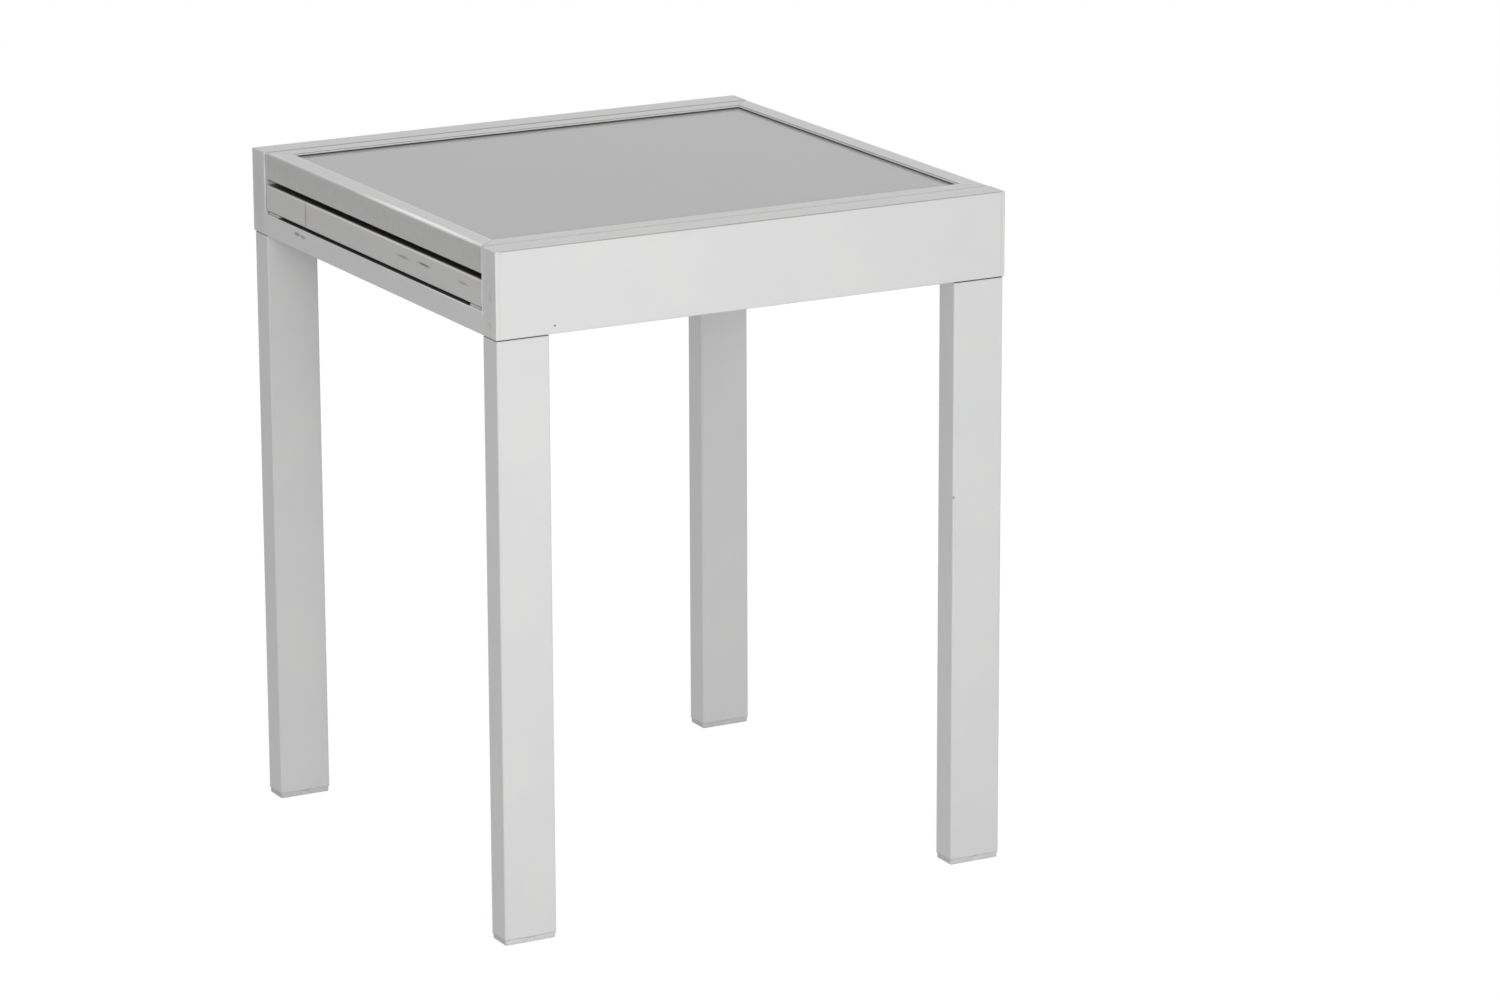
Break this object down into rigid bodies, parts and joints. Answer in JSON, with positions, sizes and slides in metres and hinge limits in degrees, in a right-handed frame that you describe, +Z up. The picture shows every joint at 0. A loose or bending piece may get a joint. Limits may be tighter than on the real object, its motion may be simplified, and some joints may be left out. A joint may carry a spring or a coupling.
{
  "type": "extending balcony table",
  "caption": "Square aluminium balcony table on slab legs with stacked framed glass leaves that slide out of both ends between fixed side aprons.",
  "frame": {"origin": "on the floor under the middle of the table", "axes": "+X along the aprons, the way the lower leaf slides out; +Y to the rear; +Z up"},
  "size_m": [0.6, 0.6, 0.74],
  "materials": {
    "silver_aluminium": "satin silver",
    "key_aluminium": "as cast",
    "grey_glass": "grey tempered, lacquered below",
    "black_rubber": "matt",
    "black_nylon": "matt",
    "white_nylon": "satin",
    "grey_plastic": "satin",
    "zinc_steel": "zinc plated"
  },
  "bodies": {
    "base": {"front_apron": "silver_aluminium", "rear_apron": "silver_aluminium", "left_end_frame": "silver_aluminium", "right_end_frame": "silver_aluminium", "end_frame_screws": "zinc_steel", "leg_bolts": "zinc_steel", "leg_nuts": "zinc_steel", "front_left_leg": "silver_aluminium", "front_left_leg_plug": "black_nylon", "front_left_foot_cap": "grey_plastic", "front_right_leg": "silver_aluminium", "front_right_leg_plug": "black_nylon", "front_right_foot_cap": "grey_plastic", "rear_left_leg": "silver_aluminium", "rear_left_leg_plug": "black_nylon", "rear_left_foot_cap": "grey_plastic", "rear_right_leg": "silver_aluminium", "rear_right_leg_plug": "black_nylon", "rear_right_foot_cap": "grey_plastic"},
    "upper_leaf": {"upper_leaf_front_bar": "silver_aluminium", "upper_leaf_rear_bar": "silver_aluminium", "upper_leaf_left_bar": "silver_aluminium", "upper_leaf_right_bar": "silver_aluminium", "upper_leaf_corner_keys": "key_aluminium", "upper_leaf_glass": "grey_glass", "upper_leaf_glass_seal": "black_rubber", "upper_leaf_front_outer_shoe": "white_nylon", "upper_leaf_front_inner_shoe": "white_nylon", "upper_leaf_rear_outer_shoe": "white_nylon", "upper_leaf_rear_inner_shoe": "white_nylon", "upper_leaf_shoe_screws": "zinc_steel"},
    "lower_leaf": {"lower_leaf_front_bar": "silver_aluminium", "lower_leaf_rear_bar": "silver_aluminium", "lower_leaf_left_bar": "silver_aluminium", "lower_leaf_right_bar": "silver_aluminium", "lower_leaf_corner_keys": "key_aluminium", "lower_leaf_glass": "grey_glass", "lower_leaf_glass_seal": "black_rubber", "lower_leaf_front_outer_shoe": "white_nylon", "lower_leaf_front_inner_shoe": "white_nylon", "lower_leaf_rear_outer_shoe": "white_nylon", "lower_leaf_rear_inner_shoe": "white_nylon", "lower_leaf_shoe_screws": "zinc_steel", "lower_leaf_rest_pads": "grey_plastic"}
  },
  "joints": [
    {"name": "upper_leaf_slide", "type": "slide", "parent": "base", "child": "upper_leaf", "axis": [-1, 0, 0], "range_m": [0, 0.2985]},
    {"name": "lower_leaf_slide", "type": "slide", "parent": "base", "child": "lower_leaf", "axis": [1, 0, 0], "range_m": [0, 0.3425]}
  ]
}
